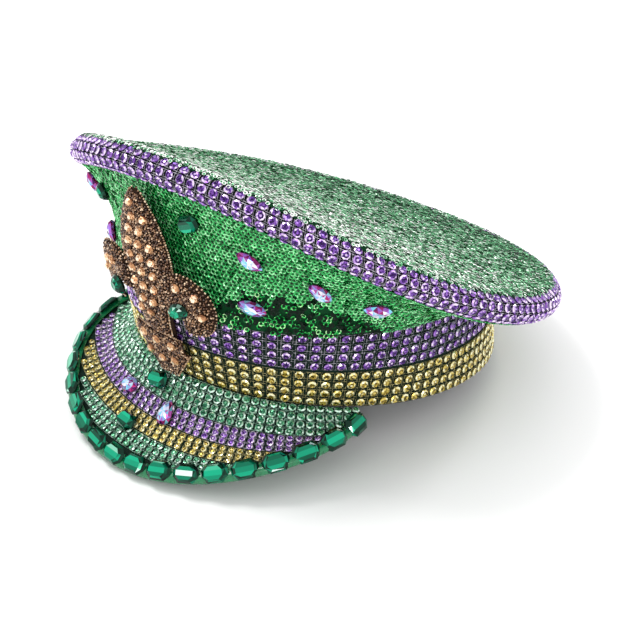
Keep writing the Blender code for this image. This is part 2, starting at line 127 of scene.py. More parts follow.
# Fleur-de-lis
FLEUR_FOOT_TURN = radians(-7.6)
FLEUR_TIP_TURN = radians(-11.0)
FLEUR_CLEARANCE = 1.0
FLEUR_BAND_LENGTH = 51.0
FLEUR_FULL_LENGTH = 117.0
FLEUR_WIDEST = 0.48
BEAD = 1.3
BEAD_PITCH = BEAD * 0.93
PEACH_STONE = 5.0
PEACH_ROWS = (1, 2, 2, 3, 3, 3, 3, 2, 2)
GEM_LIFT = 6.6

# Sequins
SEQUIN = 2.9
SEQUIN_COLUMN = 2.7
SEQUIN_ROW = 2.2
SIDE_ROWS = 36
SIDE_WRAP = 9.0 / 40.0
TOP_SEQUIN = 2.3
TOP_COLUMN = 2.1
TOP_ROW = 1.8
PATCH_START = radians(10)
PATCH_SPAN = radians(54)
PATCH_TOP = 0.37
PATCH_GAPS = 0.25
PATCH_TONES = (-0.6, -0.5, -0.4, 0.0, 0.05, 0.1, 0.2, 0.4)

# Resting pose
REST_TILT = radians(11.75)
REST_LIFT = 19.86
REST_SHIFT_X = -2.2
REST_SHIFT_Y = 11.5

REST = Matrix.LocRotScale(
    Vector((REST_SHIFT_X, REST_SHIFT_Y, REST_LIFT)) * MM,
    Euler((-REST_TILT, 0.0, -VISOR_TURN), "ZYX"),
    None,
)
PLACE = REST @ Matrix.Scale(MM, 4)
PLACE_ARRAY = np.array(PLACE)

dice = random.Random(11)


# ---------------- the cap's surfaces


def within(value):
    return min(max(value, 0.0), 1.0)


def smooth_step(value):
    value = within(value)
    return value * value * (3.0 - 2.0 * value)


def band_full_height(angle):
    return BAND_HEIGHT - BAND_FRONT_DROP * cos(angle)


def band_top(angle):
    turn = abs(atan2(sin(angle), cos(angle)))
    back = (turn - BAND_BACK_START) / (pi - BAND_BACK_START)
    return band_full_height(angle) - BAND_BACK_DROP * smooth_step(back)


def band_point(angle, height, depth=0.0):
    """A point of the band's wall, depth below the outer face of its stones."""
    rise = height / BAND_HEIGHT
    half_width = BAND_HALF_WIDTH - depth
    half_length = BAND_HALF_LENGTH + BAND_FLARE * rise - depth
    return Vector((half_width * sin(angle), -BAND_LEAN * rise - half_length * cos(angle), height))


def band_column(angle, height, depth=0.0):
    """A point on the band's wall straight up from its foot, as the ribbons' columns run."""
    across = (BAND_HALF_WIDTH * cos(angle)) ** 2 + (BAND_HALF_LENGTH * sin(angle)) ** 2
    drift = BAND_LEAN * height / BAND_HEIGHT * BAND_HALF_LENGTH * sin(angle) / across
    return band_point(angle + drift, height, depth)


def rim_height(angle, share=1.0):
    return (
        RIM_HEIGHT
        + RIM_RISE * share * cos(angle)
        + RIM_SADDLE * share**2 * cos(2.0 * angle)
        + RIM_PEAK * share**3 * cos(3.0 * angle)
    )


def roll_point(angle, around_roll, radius):
    reach = RIM_RADIUS + radius * cos(around_roll)
    height = rim_height(angle) + radius * sin(around_roll)
    return Vector((reach * sin(angle), RIM_CENTRE_Y - reach * cos(angle), height))


def side_ends(angle, inset=0.0):
    """Where the crown's side leaves the band and where it meets the rim's roll."""
    low = band_point(angle, band_top(angle) - 0.6, SIDE_TUCK + inset)
    return low, roll_point(angle, radians(SIDE_END_DEGREES), TOP_LIFT)


def side_point(angle, share, inset=0.0):
    """A point of the crown's side, hollow between band and rim and in small pleats near the band."""
    low, high = side_ends(angle, inset)
    spread = (high - low).normalized()
    normal = spread.cross(Vector((cos(angle), sin(angle), 0.0)))
    if normal.dot(Vector((sin(angle), -cos(angle), -0.5))) < 0:
        normal = -normal
    hollow = SIDE_HOLLOW * min((high - low).length / SIDE_FULL_HEIGHT, 1.0)
    pleats = SIDE_PLEAT * sin(angle * 41.0 + 3.0 * sin(angle * 7.0))
    gather = pleats * (1.0 - share) ** 2 * sin(pi * min(share * 3.0, 1.0))
    depth = hollow * sin(pi * share) + inset * min(share * 6.0, 1.0) - gather
    return low.lerp(high, share) - normal * depth


def crown_side(angle, reach):
    """The side and, past reach 1, on round the underside of the rim's roll."""
    if reach <= 1.0:
        return side_point(angle, reach)
    past = reach - 1.0
    return roll_point(angle, radians(SIDE_END_DEGREES + 40 * past), TOP_LIFT - min(past * 4.0, 1.0))


def crown_top(x, y):
    """The sagging top panel over a point of its plan, which falls away past the rim."""
    reach = sqrt(x * x + y * y)
    height = rim_height(atan2(x, -y), min(reach / RIM_RADIUS, 1.0))
    drop = TOP_HEM_FALL * max(reach - RIM_RADIUS, 0.0) ** 2
    return Vector((x, RIM_CENTRE_Y + y, height + TOP_LIFT - drop))


def visor_width(angle):
    share = min(abs(angle) / VISOR_HALF_ANGLE, 1.0)
    return VISOR_REACH * (1.0 - share**3.9) ** 0.88


def visor_frame(angle):
    """The visor's root on the band and the level direction out from it."""
    turned = angle + VISOR_TURN
    out = Vector((sin(turned) / BAND_HALF_WIDTH, -cos(turned) / BAND_HALF_LENGTH, 0.0)).normalized()
    return band_point(turned, 0.0), out


def visor_slope(angle):
    return VISOR_SLOPE * cos(1.2 * angle)


def visor_length(angle):
    return visor_width(angle) / cos(visor_slope(angle))


def visor_point(angle, down, lift=0.0):
    """A point down the visor's slope from its root, lifted off its board."""
    foot, out = visor_frame(angle)
    slope = visor_slope(angle)
    run = out * cos(slope) - Vector((0.0, 0.0, sin(slope)))
    normal = out * sin(slope) + Vector((0.0, 0.0, cos(slope)))
    share = within(down / max(visor_length(angle), 1.0))
    hollow = VISOR_HOLLOW * (visor_width(angle) / VISOR_REACH) * sin(pi * share)
    point = foot + run * down + normal * (lift - hollow)
    point.z -= VISOR_ROOT_DROP
    return point


def fleur_point(across, height, lift=0.0):
    """A point of the ornament's face: up the band to its seam, then straight on to the rim."""
    share = height / FLEUR_FULL_LENGTH
    radius = BAND_HALF_WIDTH + (RIM_RADIUS - BAND_HALF_WIDTH) * share
    angle = FLEUR_FOOT_TURN + (FLEUR_TIP_TURN - FLEUR_FOOT_TURN) * share + asin(across / radius)
    clear = FLEUR_CLEARANCE + lift
    seam = band_point(angle, band_top(angle), -clear)
    if height <= FLEUR_BAND_LENGTH:
        return band_point(angle, 0.0, -clear).lerp(seam, height / FLEUR_BAND_LENGTH)
    high = roll_point(angle, radians(-70), STRIP_OUTER) + Vector((sin(angle), -cos(angle), 0.0)) * clear
    return seam.lerp(high, (height - FLEUR_BAND_LENGTH) / (FLEUR_FULL_LENGTH - FLEUR_BAND_LENGTH))


# ---------------- materials


def new_material(name):
    material = bpy.data.materials.new(name)
    material.use_nodes = True
    return material, material.node_tree.nodes, material.node_tree.links


def colour_ramp(nodes, stops):
    ramp = nodes.new("ShaderNodeValToRGB")
    elements = ramp.color_ramp.elements
    while len(elements) < len(stops):
        elements.new(0.5)
    for element, (position, colour) in zip(elements, stops):
        element.position = position
        element.color = (*colour, 1.0)
    return ramp


def set_inputs(node, values):
    for name, value in values.items():
        node.inputs[name].default_value = value


def add_relief(nodes, links, height, strength):
    relief = nodes.new("ShaderNodeBump")
    set_inputs(relief, {"Strength": strength, "Distance": 0.0003})
    links.new(height, relief.inputs["Height"])
    links.new(relief.outputs["Normal"], nodes["Principled BSDF"].inputs["Normal"])


def finish_material(name, stops, source, roughness, metallic, coat=0.0, grain=900.0, bump=0.1, specular=0.5):
    """A Principled surface whose colour runs along stops by each facet's painted light, by separate bit, or
    by noise.
    """
    material, nodes, links = new_material(name)
    shader = nodes["Principled BSDF"]
    where = nodes.new("ShaderNodeTexCoord")
    noise = nodes.new("ShaderNodeTexNoise")
    set_inputs(noise, {"Scale": grain, "Detail": 4.0})
    links.new(where.outputs["Object"], noise.inputs["Vector"])
    # Painted light per facet: a stand-in for the reflections and shade on stones and sequins.
    if source == "painted_light":
        painted_light = nodes.new("ShaderNodeAttribute")
        painted_light.attribute_name = "painted_light"
        place = painted_light.outputs["Fac"]
    elif source == "bit":
        place = nodes.new("ShaderNodeNewGeometry").outputs["Random Per Island"]
    else:
        place = noise.outputs["Fac"]
    ramp = colour_ramp(nodes, stops)
    links.new(place, ramp.inputs["Fac"])
    links.new(ramp.outputs["Color"], shader.inputs["Base Color"])
    spread = nodes.new("ShaderNodeMapRange")
    set_inputs(spread, {"To Min": roughness * 0.75, "To Max": min(roughness * 1.25, 1.0)})
    links.new(noise.outputs["Fac"], spread.inputs["Value"])
    links.new(spread.outputs["Result"], shader.inputs["Roughness"])
    set_inputs(shader, {"Metallic": metallic, "Specular IOR Level": specular})
    set_inputs(shader, {"Coat Weight": coat, "Coat Roughness": 0.04})
    if bump:
        add_relief(nodes, links, noise.outputs["Fac"], bump)
    return material


def woven_material(name, dark, light, threads, roughness, sheen):
    """Plain woven cloth: two crossed sets of threads in the colour and in the relief."""
    material, nodes, links = new_material(name)
    shader = nodes["Principled BSDF"]
    where = nodes.new("ShaderNodeTexCoord")
    join = nodes.new("ShaderNodeMath")
    join.operation = "MULTIPLY"
    for side, axis in enumerate(("X", "Z")):
        wave = nodes.new("ShaderNodeTexWave")
        wave.bands_direction = axis
        set_inputs(wave, {"Scale": threads, "Distortion": 0.6})
        links.new(where.outputs["Object"], wave.inputs["Vector"])
        links.new(wave.outputs["Fac"], join.inputs[side])
    ramp = colour_ramp(nodes, [(0.0, dark), (1.0, light)])
    links.new(join.outputs["Value"], ramp.inputs["Fac"])
    links.new(ramp.outputs["Color"], shader.inputs["Base Color"])
    add_relief(nodes, links, join.outputs["Value"], 0.4)
    set_inputs(shader, {"Roughness": roughness, "Specular IOR Level": 0.15, "Sheen Weight": sheen})
    return material


# Each stone colour's stops run from painted shade through the stone's own colour to painted glints near
# white.
STONE_COLOURS_AND_PAINTED_SPARKLE = {
    "purple": [
        (0.0, (0.015, 0.0, 0.05)), (0.3, (0.11, 0.03, 0.28)),
        (0.6, (0.36, 0.16, 0.6)), (1.0, (0.95, 0.8, 1.0)),
    ],
    "gold": [
        (0.0, (0.035, 0.025, 0.0)), (0.3, (0.3, 0.2, 0.015)),
        (0.6, (0.78, 0.6, 0.13)), (1.0, (1.0, 0.96, 0.62)),
    ],
    "mint": [
        (0.0, (0.0, 0.04, 0.02)), (0.3, (0.01, 0.15, 0.07)),
        (0.65, (0.16, 0.48, 0.26)), (1.0, (0.8, 1.0, 0.88)),
    ],
    "peach": [
        (0.0, (0.22, 0.08, 0.03)), (0.35, (0.6, 0.3, 0.14)),
        (0.7, (0.92, 0.6, 0.34)), (1.0, (1.0, 0.86, 0.66)),
    ],
    "emerald": [
        (0.0, (0.0, 0.008, 0.004)), (0.35, (0.0, 0.035, 0.018)),
        (0.6, (0.0, 0.16, 0.085)), (0.9, (0.005, 0.48, 0.26)),
        (1.0, (0.8, 1.0, 0.92)),
    ],
    "aurora": [
        (0.0, (0.05, 0.0, 0.08)), (0.2, (0.45, 0.02, 0.16)),
        (0.4, (0.35, 0.16, 0.7)), (0.6, (0.2, 0.65, 0.85)),
        (0.8, (0.75, 0.7, 0.9)), (1.0, (1.0, 1.0, 1.0)),
    ],
}
STONES = {
    name: finish_material(
        f"{name}_crystal", stops, "painted_light", 0.12, 0.55, coat=0.15, grain=300.0, bump=0.0, specular=0.3
    )
    for name, stops in STONE_COLOURS_AND_PAINTED_SPARKLE.items()
}
NET_TONES = {
    "purple": [(0.42, (0.02, 0.03, 0.03)), (0.62, (0.5, 0.48, 0.54))],
    "pale": [(0.4, (0.1, 0.1, 0.11)), (0.6, (0.7, 0.67, 0.74))],
    "gold": [(0.42, (0.02, 0.03, 0.01)), (0.62, (0.5, 0.44, 0.2))],
    "mint": [(0.42, (0.01, 0.04, 0.025)), (0.62, (0.34, 0.56, 0.44))],
}
NETS = {
    name: finish_material(f"{name}_net", stops, "noise", 0.4, 0.0, specular=0.2)
    for name, stops in NET_TONES.items()
}
# The stops run from painted shade through the sequins' kelly green to a near-white painted highlight.
SIDE_SEQUINS = finish_material(
    "kelly_green_sequins",
    [
        (0.0, (0.0, 0.035, 0.006)), (0.3, (0.0, 0.18, 0.03)),
        (0.65, (0.03, 0.55, 0.12)), (1.0, (0.5, 1.0, 0.55)),
    ],
    "painted_light",
    0.24,
    0.5,
    coat=0.2,
)
# Its near-white top stop is a painted highlight; the loose sequins' shifts set how dark each one is.
PATCH_SEQUINS = finish_material(
    "open_patch_sequins",
    [
        (0.0, (0.0, 0.006, 0.002)), (0.5, (0.0, 0.02, 0.006)),
        (0.7, (0.0, 0.34, 0.06)), (0.9, (0.06, 0.7, 0.12)),
        (1.0, (0.6, 1.0, 0.5)),
    ],
    "painted_light",
    0.35,
    0.0,
    specular=0.15,
)
# The pale and near-white stops are painted reflections on the edge-on sequins of the top.
TOP_SEQUINS = finish_material(
    "top_sequins",
    [
        (0.0, (0.0, 0.02, 0.008)), (0.25, (0.01, 0.17, 0.05)),
        (0.55, (0.08, 0.42, 0.16)), (0.8, (0.45, 0.62, 0.48)),
        (1.0, (0.88, 0.85, 0.85)),
    ],
    "painted_light",
    0.3,
    0.4,
    coat=0.2,
)
BASE_CLOTH = woven_material("sequin_ground", (0.0, 0.03, 0.008), (0.004, 0.1, 0.025), 900.0, 0.8, 0.0)
BAND_CLOTH = woven_material("band_ground", (0.001, 0.008, 0.005), (0.008, 0.035, 0.02), 900.0, 0.8, 0.0)
RIM_CLOTH = woven_material("rim_ground", (0.003, 0.003, 0.006), (0.014, 0.02, 0.02), 900.0, 0.8, 0.0)
LINING = woven_material("black_lining", (0.008, 0.008, 0.009), (0.03, 0.03, 0.033), 1100.0, 0.85, 0.3)
PLAIN_TONES = {
    "green_satin": [(0.3, (0.0, 0.12, 0.04)), (0.7, (0.0, 0.2, 0.07))],
    "grey_board": [(0.3, (0.25, 0.25, 0.24)), (0.7, (0.36, 0.35, 0.34))],
    "white_foam": [(0.3, (0.7, 0.7, 0.67)), (0.7, (0.86, 0.86, 0.83))],
    "hoop_steel": [(0.3, (0.42, 0.42, 0.43)), (0.7, (0.6, 0.6, 0.6))],
    "studio_white": [(0.3, (0.9, 0.9, 0.9)), (0.7, (0.93, 0.93, 0.93))],
}


def plain_material(name, roughness, metallic, **more):
    """One colour, slightly mottled."""
    return finish_material(name, PLAIN_TONES[name], "noise", roughness, metallic, **more)


SATIN = plain_material("green_satin", 0.28, 0.0, coat=0.35, grain=500.0)
BOARD = plain_material("grey_board", 0.8, 0.0)
FOAM = plain_material("white_foam", 0.9, 0.0, bump=0.5)
WIRE = plain_material("hoop_steel", 0.3, 1.0)
# Each bead takes its colour at random from bronze tones up to a pale painted highlight.
BEADS = finish_material(
    "bronze_beads",
    [
        (0.0, (0.03, 0.012, 0.008)), (0.45, (0.13, 0.055, 0.025)),
        (0.8, (0.36, 0.19, 0.09)), (1.0, (0.85, 0.62, 0.42)),
    ],
    "bit",
    0.18,
    0.4,
    coat=0.6,
)
EDGE_BEADS = finish_material(
    "pale_beads",
    [(0.0, (0.18, 0.09, 0.05)), (0.5, (0.5, 0.3, 0.16)), (1.0, (0.9, 0.72, 0.52))],
    "bit",
    0.18,
    0.3,
    coat=0.6,
)
FLEUR_CLOTH = woven_material("brown_felt", (0.015, 0.007, 0.004), (0.05, 0.024, 0.012), 900.0, 0.9, 0.0)


# ---------------- mesh builders


def add_object(name, data):
    item = bpy.data.objects.new(name, data)
    bpy.context.scene.collection.objects.link(item)
    return item


def add_piece(name, mesh, material, stands_for=()):
    piece = add_object(name, mesh)
    mesh.materials.append(material)
    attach(piece, "root")
    if stands_for:
        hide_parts(*stands_for)
    return piece


def to_row(points):
    points = np.asarray(points, float)
    return points @ PLACE_ARRAY[:3, :3].T + PLACE_ARRAY[:3, 3]


def cloth(name, surface, columns, rows, thickness, material, facing, stands_for=()):
    """A sheet of cloth or tape laid on surface(u, v), closed by its own thickness on the inner side."""
    mesh = bpy.data.meshes.new(name)
    grid = [surface(i / columns, j / rows) for j in range(rows + 1) for i in range(columns + 1)]
    wide = columns + 1
    faces = [
        (j * wide + i, j * wide + i + 1, (j + 1) * wide + i + 1, (j + 1) * wide + i)
        for j in range(rows)
        for i in range(columns)
    ]
    middle = faces[len(faces) // 2]
    a, b, c = (grid[k] for k in middle[:3])
    if (b - a).cross(c - b).dot(facing(a)) < 0:
        faces = [face[::-1] for face in faces]
    mesh.from_pydata(to_row(grid).tolist(), [], faces)
    piece = add_piece(name, mesh, material, stands_for)
    weld = piece.modifiers.new("weld", "WELD")
    weld.merge_threshold = 0.00005
    wall = piece.modifiers.new("thickness", "SOLIDIFY")
    wall.thickness = thickness * MM
    wall.offset = -1.0
    mesh.shade_smooth()
    return piece


def scatter(name, template, places, material, stands_for=(), smooth=False, shifts=None):
    """One mesh of many copies of a template, with painted light for each facet, drawn at random from its
    span, and a shift of it for each copy.
    """
    points, faces, painted_light_spans = template
    local = np.c_[np.array(points, float), np.ones(len(points))]
    matrices = PLACE_ARRAY @ np.array([[list(row) for row in place] for place in places])
    world = np.einsum("nij,kj->nki", matrices, local)[..., :3].reshape(-1, 3)
    count = len(points)
    mesh = bpy.data.meshes.new(name)
    everywhere = [tuple(i + k * count for i in face) for k in range(len(places)) for face in faces]
    mesh.from_pydata(world.tolist(), [], everywhere)
    # Painted light per facet, with each copy's shift added: painted reflections, highlights and shade.
    if painted_light_spans:
        shifts = shifts or [0.0] * len(places)
        values = [dice.uniform(*span) + shift for shift in shifts for span in painted_light_spans]
        painted_light = mesh.attributes.new("painted_light", "FLOAT", "FACE")
        painted_light.data.foreach_set("value", np.array(values, np.float32))
    if smooth:
        mesh.shade_smooth()
    return add_piece(name, mesh, material, stands_for)


def strands(name, lines, radius, material):
    """Thin threads along lines of (point, normal) pairs, four-sided."""
    points, faces = [], []
    for line in lines:
        start = len(points)
        last = len(line) - 1
        for i, (point, normal) in enumerate(line):
            along = (line[min(i + 1, last)][0] - line[max(i - 1, 0)][0]).normalized()
            side = along.cross(normal).normalized() * radius
            lift = normal * radius
            points += [point + side, point + lift, point - side, point - lift]
        for i in range(last):
            a = start + 4 * i
            faces += [(a + k, a + (k + 1) % 4, a + 4 + (k + 1) % 4, a + 4 + k) for k in range(4)]
        faces += [(start + 3, start + 2, start + 1, start), tuple(start + 4 * last + k for k in range(4))]
    mesh = bpy.data.meshes.new(name)
    mesh.from_pydata(to_row(points).tolist(), [], faces)
    return add_piece(name, mesh, material)


def frame_on(surface, a, b, outside, steps=(0.002, 0.02)):
    """(point, matrix) on surface(a, b): x runs along a, z leaves the surface."""
    point = surface(a, b)
    along = (surface(a + steps[0], b) - surface(a - steps[0], b)).normalized()
    down = surface(a, b + steps[1]) - surface(a, b - steps[1])
    normal = along.cross(down).normalized()
    if normal.dot(outside(point)) < 0:
        normal = -normal
    return point, Matrix((along, normal.cross(along), normal)).transposed()


def placed(point, turn, size=1.0, lift=0.0, spin=0.0, lean=(0.0, 0.0)):
    """A template's place: lifted along the surface's normal, spun on it and leant off it."""
    local = turn.to_4x4() @ Euler((lean[0], lean[1], spin)).to_matrix().to_4x4()
    return Matrix.Translation(point + turn.col[2] * lift) @ local @ Matrix.Scale(size, 4)


def out_flat(point):
    return Vector((point.x, point.y, 0.0))


def out_under(point):
    return out_flat(point).normalized() - Vector((0.0, 0.0, 0.5))


def out_up(_point):
    return Vector((0.0, 0.0, 1.0))


def distances(points):
    """The distance travelled to each point of a path."""
    travelled = [0.0]
    for before, after in zip(points, points[1:]):
        travelled.append(travelled[-1] + (after - before).length)
    return travelled


def spaced_angles(path, start, end, pitch, samples=720):
    """Angles at an even pitch along path(angle)."""
    angles = [start + (end - start) * i / samples for i in range(samples + 1)]
    travelled = distances([path(a) for a in angles])
    count = max(int(round(travelled[-1] / pitch)), 1)
    wanted = [(k + 0.5) * travelled[-1] / count for k in range(count)]
    return [float(a) for a in np.interp(wanted, travelled, angles)]


# ---------------- templates


def ring(count, radius, height, turn=0.0):
    return [
        (radius * cos(2 * pi * (k + turn) / count), radius * sin(2 * pi * (k + turn) / count), height)
        for k in range(count)
    ]


def round_stone():
    """A round stone in its cup, one unit across: outer facets painted bright, inner ones painted dark, and
    one painted glint.
    """
    sides = 8
    points = ring(sides, 0.42, 0.0) + ring(sides, 0.5, 0.22)
    points += ring(sides, 0.33, 0.36, 0.5) + ring(sides, 0.13, 0.32)
    faces, painted_light_spans = [], []
    for k in range(sides):
        n = (k + 1) % sides
        p = (k - 1) % sides
        faces += [(k, n, sides + n, sides + k)]
        painted_light_spans += [(0.15, 0.5)]
        faces += [(sides + k, sides + n, 2 * sides + k), (sides + k, 2 * sides + k, 2 * sides + p)]
        painted_light_spans += [(0.35, 1.25), (0.15, 1.1)]
        faces += [(2 * sides + k, 3 * sides + n, 3 * sides + k)]
        faces += [(2 * sides + p, 2 * sides + k, 3 * sides + k)]
        painted_light_spans += [(-0.3, 0.55), (-0.3, 0.45)]
    faces += [tuple(range(3 * sides, 4 * sides)), tuple(range(sides))[::-1]]
    painted_light_spans += [(-0.3, 0.9), (0.2, 0.4)]
    return points, faces, painted_light_spans


def cup_sequin(sides):
    """A cup sequin, one unit across, with its hole in the middle: painted shade inside, a painted highlight
    along its rim.
    """
    points = ring(sides, 0.14, 0.0) + ring(sides, 0.33, 0.03) + ring(sides, 0.5, 0.1)
    faces, painted_light_spans = [], []
    for band, span in enumerate(((-0.15, 0.3), (0.3, 0.85))):
        for k in range(sides):
            n = (k + 1) % sides
            a = band * sides
            faces.append((a + k, a + n, a + sides + n, a + sides + k))
            painted_light_spans.append(span)
    return points, faces, painted_light_spans


def seed_bead():
    """A seed bead, one unit across."""
    sides = 6
    points = ring(sides, 0.3, -0.3) + ring(sides, 0.5, 0.0, 0.5) + ring(sides, 0.3, 0.3)
    faces = []
    for band in (0, sides):
        for k in range(sides):
            n = (k + 1) % sides
            faces.append((band + k, band + n, band + sides + n, band + sides + k))
    faces += [tuple(range(sides))[::-1], tuple(range(2 * sides, 3 * sides))]
    return points, faces, None


def octagon_outline(length, width, clip):
    """An oblong with clipped corners, from its +x side round."""
    x, y = length / 2, width / 2
    half = [(x, clip - y), (x, y - clip), (x - clip, y), (clip - x, y)]
    return half + [(-a, -b) for a, b in half]


def curved_outline(length, width, shape, sides=14):
    """An oval, or one drawn out to two points (navette) or to one (teardrop)."""
    outline = []
    for k in range(sides):
        turn = 2 * pi * k / sides
        x, y = cos(turn), sin(turn)
        if shape == "navette":
            y *= abs(y) ** 0.35
        if shape == "teardrop":
            y *= (0.62 - 0.38 * x) * 1.35
        outline.append((x * length / 2, y * width / 2))
    return outline


# Painted light for the facets of each level of a cut stone, foot first: painted shade low down, painted
# highlights towards the table.
LEVEL_PAINTED_LIGHT = ([(-0.1, 0.4), (-0.1, 0.3)], [(-0.1, 0.65), (0.0, 0.5)], [(0.1, 1.0), (0.0, 0.8)])


def cut_stone(outline, height, levels, table=(0.52, 0.92)):
    """A faceted stone; levels are (share of the outline, share of the height), foot first, table last. Each
    facet gets painted light from a span, darker low down and brightest on the table.
    """
    sides = len(outline)
    points = [(x * share, y * share, height * rise) for share, rise in levels for x, y in outline]
    if sides != 8:
        points.append((0.0, 0.0, height * (levels[-1][1] - 0.04)))
    faces, painted_light_spans = [], []
    for level in range(len(levels) - 1):
        for k in range(sides):
            n = (k + 1) % sides
            a, b = level * sides + k, level * sides + n
            c, d = b + sides, a + sides
            faces += [(a, b, c), (a, c, d)] if (k + level) % 2 else [(a, b, d), (b, c, d)]
            painted_light_spans += LEVEL_PAINTED_LIGHT[level]
    top = (len(levels) - 1) * sides
    if sides == 8:
        # The table is three bars, each with its own span of painted highlight.
        bars = (((1, 2, 3, 4), (0.4, 0.95)), ((0, 1, 4, 5), table), ((5, 6, 7, 0), (0.3, 0.85)))
        for corners, span in bars:
            faces.append(tuple(top + k for k in corners))
            painted_light_spans.append(span)
    else:
        for k in range(sides):
            faces.append((top + k, top + (k + 1) % sides, len(points) - 1))
            painted_light_spans.append(table)
    faces.append(tuple(range(sides))[::-1])
    painted_light_spans.append((0.2, 0.4))
    return points, faces, painted_light_spans


ROUND_STONE = round_stone()
STEP_LEVELS = [(0.9, 0.0), (1.0, 0.3), (0.84, 0.68), (0.66, 1.0)]
CURVED_LEVELS = [(0.88, 0.0), (1.0, 0.3), (0.78, 0.7), (0.45, 1.0)]
EDGE_OUTLINE = octagon_outline(EDGE_STONE_LENGTH, EDGE_STONE_WIDTH, 0.3 * EDGE_STONE_WIDTH)
EDGE_STONE = cut_stone(EDGE_OUTLINE, EDGE_STONE_HEIGHT, STEP_LEVELS)
PALE_EDGE_STONE = cut_stone(EDGE_OUTLINE, EDGE_STONE_HEIGHT, STEP_LEVELS, (0.97, 1.1))


# ---------------- rhinestone mesh


def net_lines(surface, outside, columns, rows, keep, half):
    """Two threads for each row of stones and two for each column, one on either side of it."""
    row_step = (rows[-1] - rows[0]) / (len(rows) - 1)
    column_step = columns[1] - columns[0]
    lines = []

    def lay(run, lift):
        if len(run) < 2:
            return
        frames = [frame_on(surface, column, row, outside) for column, row in run]
        lines.append([(point + turn.col[2] * lift, turn.col[2].copy()) for point, turn in frames])

    for row in rows:
        for side in (-half, half):
            run = []
            for column in columns:
                if keep(column, row):
                    run.append((column, row + side * row_step))
                    continue
                lay(run, ROW_THREAD_LIFT)
                run = []
            lay(run, ROW_THREAD_LIFT)
    for column in columns:
        kept = [row for row in rows if keep(column, row)]
        if len(kept) < 2:
            continue
        ends = [kept[0] - half * row_step, *kept, kept[-1] + half * row_step]
        for side in (-half, half):
            lay([(column + side * column_step, row) for row in ends], COLUMN_THREAD_LIFT)
    return lines


def stone_mesh(
    name, surface, outside, columns, rows, stone, colour, stands_for, keep, half,
    thread=NET_THREAD, net=None, shift=0.0,
):
    """Rhinestone mesh: stones on columns by rows, between threads that lie the share half of a step off."""
    places = []
    for row in rows:
        for column in columns:
            if not keep(column, row):
                continue
            point, turn = frame_on(surface, column, row, outside)
            lean = (dice.gauss(0.0, 0.05), dice.gauss(0.0, 0.05))
            places.append(placed(point, turn, stone, -STONE_SINK, dice.uniform(0.0, 0.8), lean))
    # Shift moves every stone's painted light up or down its stops.
    shifts = [shift] * len(places)
    stones = scatter(f"{name}_stones", ROUND_STONE, places, STONES[colour], stands_for, shifts=shifts)
    lines = net_lines(surface, outside, columns, rows, keep, half)
    mesh = strands(f"{name}_net", lines, thread, NETS[net or colour])
    return [stones, mesh]


# The band cloth's section, its wall and then its fold under the foot: (depth, height), None being on the wall
BAND_FOLD = (
    (CLOTH_DEPTH, None), (CLOTH_DEPTH, None), (CLOTH_DEPTH, 2.4), (2.6, 1.2), (3.4, 0.4),
    (4.7, 0.1), (6.0, 0.6), (6.7, 2.2), (6.9, 12.0),
)


def build_band():
    columns = spaced_angles(lambda a: band_point(a, 25.0), -pi, pi, BAND_COLUMN_PITCH)
    half = 0.37

    def face(angle, share):
        return band_column(angle, band_full_height(angle) * share, 2.0)

    def keep(angle, share):
        return band_full_height(angle) * share < band_top(angle) - 1.5

    steps = [(k + 0.5) / BAND_ROWS for k in range(BAND_ROWS)]
    gold_rows = [0.025 + (RIBBON_SEAM - 0.03) * step for step in steps]
    purple_rows = [RIBBON_SEAM + 0.005 + (RIBBON_SEAM - 0.015) * step for step in steps]
    # The gold stones' painted highlights are shifted brighter.
    trim = stone_mesh(
        "band_gold", face, out_flat, columns, gold_rows, BAND_STONE, "gold",
        ["band_ribbon_gold"], keep, half, shift=0.15,
    )
    trim += stone_mesh(
        "band_purple", face, out_flat, columns, purple_rows, BAND_STONE, "purple",
        ["band_ribbon_purple"], keep, half,
    )
    last = len(BAND_FOLD) - 1

    def outer(u, v):
        angle = -pi + 2 * pi * u
        depth, height = BAND_FOLD[round(v * last)]
        if height is None:
            height = (band_top(angle) + 0.6) * (1.0 if v == 0 else 0.5)
        return band_point(angle, height, depth)

    ground = cloth("band_cloth", outer, 160, last, 0.5, BAND_CLOTH, out_flat, ["band_cover"])

    def inner(u, v):
        return band_point(-pi + 2 * pi * u, 1.6 + (SWEATBAND_HEIGHT - 1.6) * v, SWEATBAND_DEPTH)

    sweat = cloth("sweatband_cloth", inner, 160, 4, 1.0, LINING, out_flat, ["sweatband"])


def build_rim():
    def face(angle, around_roll):
        return roll_point(angle, around_roll, STRIP_OUTER - RIM_STONE_DEPTH)

    def outside(point):
        angle = atan2(point.x, RIM_CENTRE_Y - point.y)
        return point - roll_point(angle, 0.0, 0.0)

    columns = spaced_angles(lambda a: roll_point(a, 0.0, STRIP_OUTER), -pi, pi, RIM_COLUMN_PITCH)
    trim = stone_mesh(
        "rim", face, outside, columns, STRIP_ROW_ANGLES, RIM_STONE, "purple",
        [], lambda a, b: True, 0.38, net="pale",
    )

    def ground(u, v):
        turn = -STRIP_EDGE_ANGLE + 2 * STRIP_EDGE_ANGLE * v
        return roll_point(-pi + 2 * pi * u, turn, STRIP_OUTER - RIM_CLOTH_DEPTH)

    nodes = ["rim_rhinestone_strip"]
    base = cloth("rim_cloth", ground, 180, 12, 0.25, RIM_CLOTH, outside, nodes)


# ---------------- sequin cloth


HALVES = {"left": (0.0, pi), "right": (-pi, 0.0)}


side_lengths = {}


def side_length(angle):
    """The length of the crown's side from band to rim, a little over the straight for its hollow."""
    key = round(angle, 3)
    if key not in side_lengths:
        low, high = side_ends(angle)
        side_lengths[key] = (high - low).length * 1.03
    return side_lengths[key]


